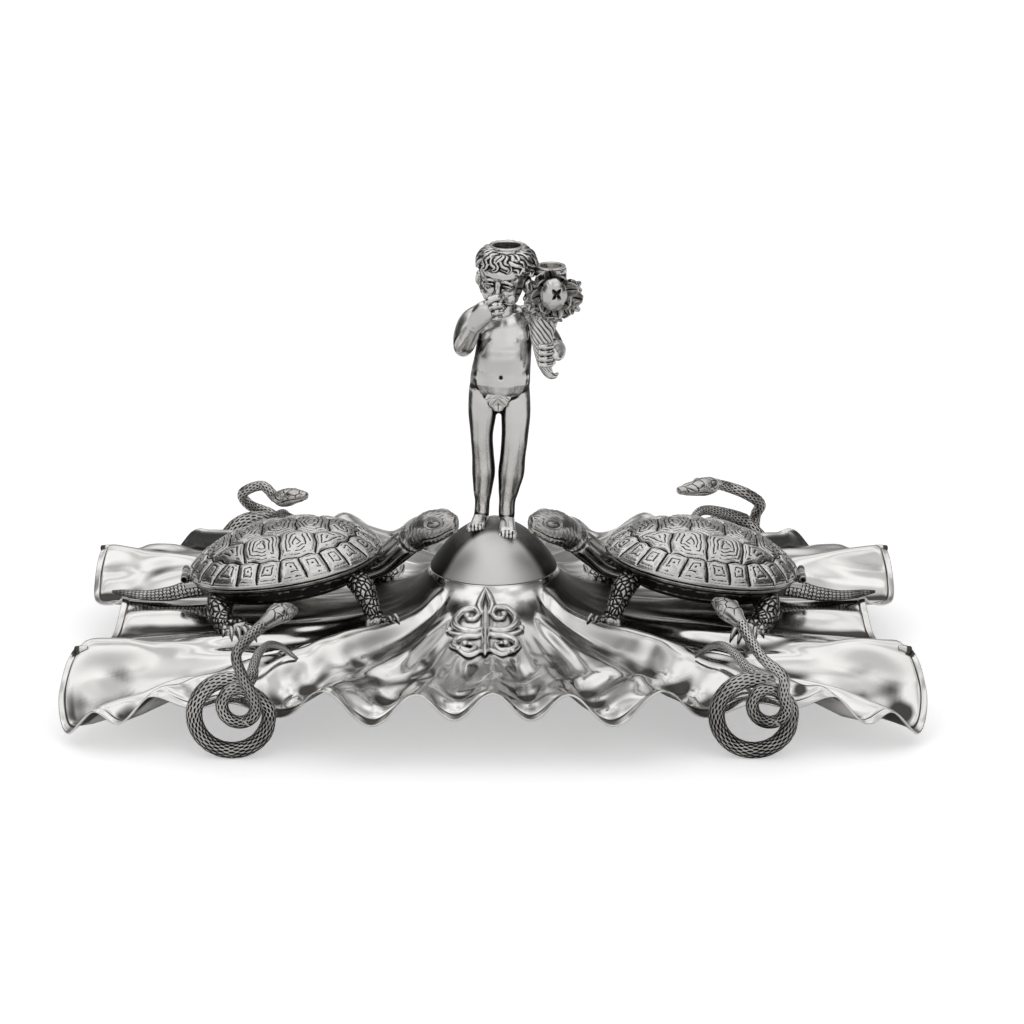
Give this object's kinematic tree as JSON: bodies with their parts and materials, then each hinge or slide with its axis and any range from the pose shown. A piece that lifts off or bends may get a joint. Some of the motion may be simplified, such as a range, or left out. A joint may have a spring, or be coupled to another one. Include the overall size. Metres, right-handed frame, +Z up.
{
  "type": "desk inkstand",
  "caption": "Silver figural desk inkstand: fluted tray on serpent feet, turtle inkwells with hinged shells, and a child figure with sockets on a hinged dome box.",
  "frame": {"origin": "middle of the footprint on the desk, under the dome", "axes": "+X to the right along the tray, +Y to the back, +Z up; the ornament faces -Y"},
  "size_m": [0.439, 0.292, 0.2309],
  "materials": {
    "polished_silver": "polished silver, dark patina in the recesses",
    "engraved_silver": "satin engraved silver",
    "oxidised_silver": "cast silver, oxidised dark with worn high points",
    "steel": "satin",
    "ink_glass": "clear moulded glass"
  },
  "bodies": {
    "inkstand": {"dome_box": "engraved_silver", "dome_hinge_pin": "steel", "ornament": "engraved_silver", "serpent_back_left": "oxidised_silver", "serpent_back_right": "oxidised_silver", "serpent_front_left": "oxidised_silver", "serpent_front_right": "oxidised_silver", "tray": "polished_silver", "turtle_left_belly": "oxidised_silver", "turtle_left_deck": "engraved_silver", "turtle_left_foreleg_back": "oxidised_silver", "turtle_left_foreleg_front": "oxidised_silver", "turtle_left_head": "oxidised_silver", "turtle_left_hindleg_back": "oxidised_silver", "turtle_left_hindleg_front": "oxidised_silver", "turtle_left_hinge_pin": "steel", "turtle_left_tail": "oxidised_silver", "turtle_right_belly": "oxidised_silver", "turtle_right_deck": "engraved_silver", "turtle_right_foreleg_back": "oxidised_silver", "turtle_right_foreleg_front": "oxidised_silver", "turtle_right_head": "oxidised_silver", "turtle_right_hindleg_back": "oxidised_silver", "turtle_right_hindleg_front": "oxidised_silver", "turtle_right_hinge_pin": "steel", "turtle_right_tail": "oxidised_silver"},
    "dome_lid_body": {"bouquet": "oxidised_silver", "bud": "polished_silver", "child_arm_left": "polished_silver", "child_arm_right": "polished_silver", "child_body": "polished_silver", "child_head": "polished_silver", "dome_lid": "polished_silver", "foot_nut_left": "steel", "foot_nut_right": "steel", "head_socket": "engraved_silver", "horn": "polished_silver", "horn_socket": "engraved_silver", "leaf_cover": "oxidised_silver"},
    "carapace_left": {"turtle_left_carapace": "engraved_silver"},
    "carapace_right": {"turtle_right_carapace": "engraved_silver"},
    "inkpot_left": {"turtle_left_inkpot": "ink_glass"},
    "inkpot_right": {"turtle_right_inkpot": "ink_glass"}
  },
  "joints": [
    {"name": "dome_hinge", "type": "hinge", "parent": "inkstand", "child": "dome_lid_body", "pos_m": [0, 0.0355, 0.0598], "axis": [-1, 0, 0], "range_deg": [0, 75]},
    {"name": "shell_left_hinge", "type": "hinge", "parent": "inkstand", "child": "carapace_left", "pos_m": [-0.16065, -0.004, 0.05396], "axis": [0, -1, 0], "range_deg": [0, 70]},
    {"name": "shell_right_hinge", "type": "hinge", "parent": "inkstand", "child": "carapace_right", "pos_m": [0.16065, -0.004, 0.05396], "axis": [0, 1, 0], "range_deg": [0, 70]},
    {"name": "ink_left_lift", "type": "slide", "parent": "inkstand", "child": "inkpot_left", "axis": [-0.1564, 0, 0.9877], "range_m": [0, 0.006]},
    {"name": "ink_right_lift", "type": "slide", "parent": "inkstand", "child": "inkpot_right", "axis": [0.1564, 0, 0.9877], "range_m": [0, 0.006]}
  ]
}
